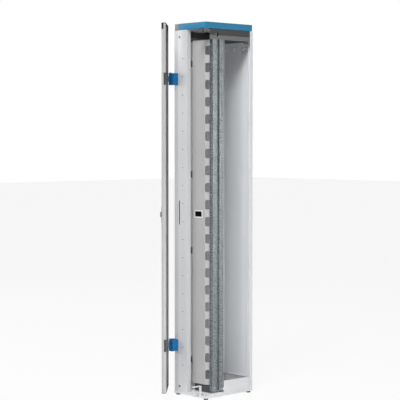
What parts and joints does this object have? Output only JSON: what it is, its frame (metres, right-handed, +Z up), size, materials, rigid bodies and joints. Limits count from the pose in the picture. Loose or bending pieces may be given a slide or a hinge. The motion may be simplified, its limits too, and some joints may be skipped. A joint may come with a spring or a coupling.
{
  "type": "vertical cable manager",
  "caption": "Tall open-sided cable-management column with a slotted finger panel, punched mounting rail, corner post and hinged cover door with a rod latch.",
  "frame": {"origin": "centre of the rectangle of floor-bolt holes, on the underside of the base tray", "axes": "+X to the right seen from the front, +Y from the front to the back panel, +Z up"},
  "size_m": [0.2639, 0.5595, 1.9527],
  "materials": {
    "white_sheet": "satin light grey powder coat",
    "grey_sheet": "satin grey powder coat",
    "dark_steel": "dark grey powder coat",
    "blue_paint": "satin blue paint",
    "blue_cast": "moulded blue cover",
    "corner_grey": "moulded grey",
    "panel_paint": "satin light grey powder coat",
    "galvanised": "galvanised, fine spangle",
    "black_plastic": "matte black",
    "bezel_plastic": "matte off-white",
    "zinc": "bright zinc plate",
    "rod_steel": "drawn steel",
    "brass_stud": "plain brass",
    "door_paint": "satin light grey powder coat",
    "foot_black": "moulded black"
  },
  "bodies": {
    "frame": {"base_tray": "white_sheet", "floor_plate": "white_sheet", "base_beam_right": "white_sheet", "base_beam_left": "white_sheet", "base_beam_rear": "white_sheet", "cross_member": "dark_steel", "front_post": "white_sheet", "rear_post_left": "grey_sheet", "rear_post_right": "grey_sheet", "side_panel": "grey_sheet", "back_panel": "grey_sheet", "top_beam_right": "grey_sheet", "top_beam_left": "grey_sheet", "top_beam_rear": "grey_sheet", "roof_plate": "grey_sheet", "roof_trim": "blue_paint", "roof_corner_cap": "corner_grey", "cable_panel": "panel_paint", "panel_bezel": "bezel_plastic", "panel_blank": "black_plastic", "panel_brackets": "zinc", "mounting_rail": "galvanised", "rail_foot": "galvanised", "keeper_top": "dark_steel", "keeper_bottom": "white_sheet", "hinge_block_upper": "blue_cast", "hinge_block_lower": "blue_cast", "post_screws": "zinc", "rail_screws": "zinc", "panel_screws": "zinc", "earth_studs": "brass_stud", "earth_lead": "black_plastic"},
    "door": {"door_shell": "door_paint", "door_cap_top": "black_plastic", "door_cap_bottom": "corner_grey", "hinge_leaf_upper": "blue_cast", "hinge_leaf_lower": "blue_cast", "door_plugs": "dark_steel", "door_stiffeners": "door_paint", "rod_guides": "black_plastic", "latch_plate": "dark_steel"},
    "hinge_pin_upper": {"hinge_pin_upper": "zinc"},
    "hinge_pin_lower": {"hinge_pin_lower": "zinc"},
    "latch": {"latch_handle": "dark_steel"},
    "rod_upper": {"latch_rod_upper": "rod_steel"},
    "rod_lower": {"latch_rod_lower": "rod_steel"},
    "foot_front_left": {"foot_front_left": "foot_black"},
    "foot_front_right": {"foot_front_right": "foot_black"},
    "foot_rear_left": {"foot_rear_left": "foot_black"},
    "foot_rear_right": {"foot_rear_right": "foot_black"}
  },
  "joints": [
    {"name": "door_swing", "type": "hinge", "parent": "frame", "child": "door", "pos_m": [-0.121, -0.199, 0.95795], "axis": [0, 0, -1], "range_deg": [-45, 65]},
    {"name": "pin_lift_upper", "type": "slide", "parent": "frame", "child": "hinge_pin_upper", "axis": [0, 0, 1], "range_m": [0, 0.075]},
    {"name": "pin_lift_lower", "type": "slide", "parent": "frame", "child": "hinge_pin_lower", "axis": [0, 0, 1], "range_m": [0, 0.075]},
    {"name": "latch_turn", "type": "hinge", "parent": "door", "child": "latch", "pos_m": [0.00274, -0.36941, 0.95795], "axis": [-0.7071, -0.7071, 0], "range_deg": [0, 90]},
    {"name": "rod_slide_upper", "type": "slide", "parent": "door", "child": "rod_upper", "axis": [0, 0, 1], "range_m": [0, 0.014]},
    {"name": "rod_slide_lower", "type": "slide", "parent": "door", "child": "rod_lower", "axis": [0, 0, -1], "range_m": [0, 0.0142]},
    {"name": "foot_front_left_turn", "type": "hinge", "parent": "frame", "child": "foot_front_left", "pos_m": [-0.106, -0.156, 0], "axis": [0, 0, 1], "continuous": true},
    {"name": "foot_front_right_turn", "type": "hinge", "parent": "frame", "child": "foot_front_right", "pos_m": [0.106, -0.156, 0], "axis": [0, 0, 1], "continuous": true},
    {"name": "foot_rear_left_turn", "type": "hinge", "parent": "frame", "child": "foot_rear_left", "pos_m": [-0.106, 0.156, 0], "axis": [0, 0, 1], "continuous": true},
    {"name": "foot_rear_right_turn", "type": "hinge", "parent": "frame", "child": "foot_rear_right", "pos_m": [0.106, 0.156, 0], "axis": [0, 0, 1], "continuous": true}
  ],
  "couplings": [
    {"joint": "latch_turn", "follows": "rod_slide_upper", "rad_per_m": 112.19},
    {"joint": "rod_slide_lower", "follows": "rod_slide_upper", "ratio": 1}
  ]
}
